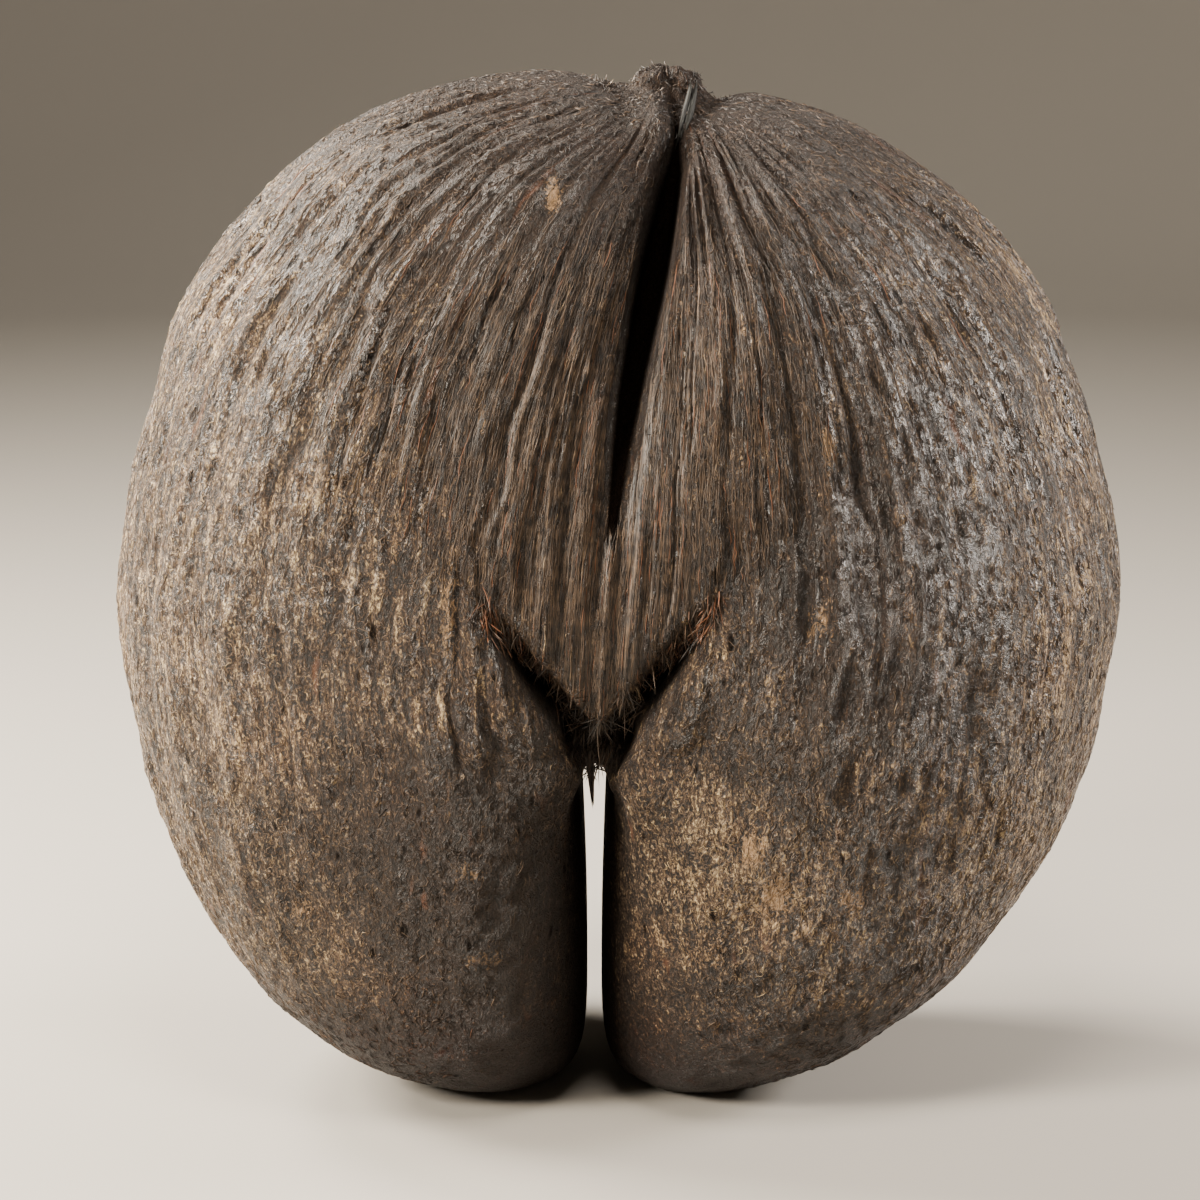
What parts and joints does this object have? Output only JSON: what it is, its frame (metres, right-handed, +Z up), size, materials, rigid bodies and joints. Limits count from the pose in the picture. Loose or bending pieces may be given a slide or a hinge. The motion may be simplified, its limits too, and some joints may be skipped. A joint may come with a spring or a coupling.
{
  "type": "coco de mer nut",
  "caption": "Dried coco de mer nut: a large two-lobed palm seed with a stem scar, a cleft, a fibrous fan above the fork and a narrow slit between its lobes.",
  "frame": {"origin": "middle of the base, on the surface that the tips of the lobes rest on", "axes": "+Z up from the tips of the lobes to the stem scar, +X to the right across the two lobes, -Y out of the front with the fibrous fan and the cleft"},
  "size_m": [0.292, 0.184, 0.3],
  "materials": {
    "husk": "dry fibrous husk, dark greyish brown, slightly polished by handling"
  },
  "bodies": {
    "root": {"nut": "husk"}
  },
  "joints": []
}
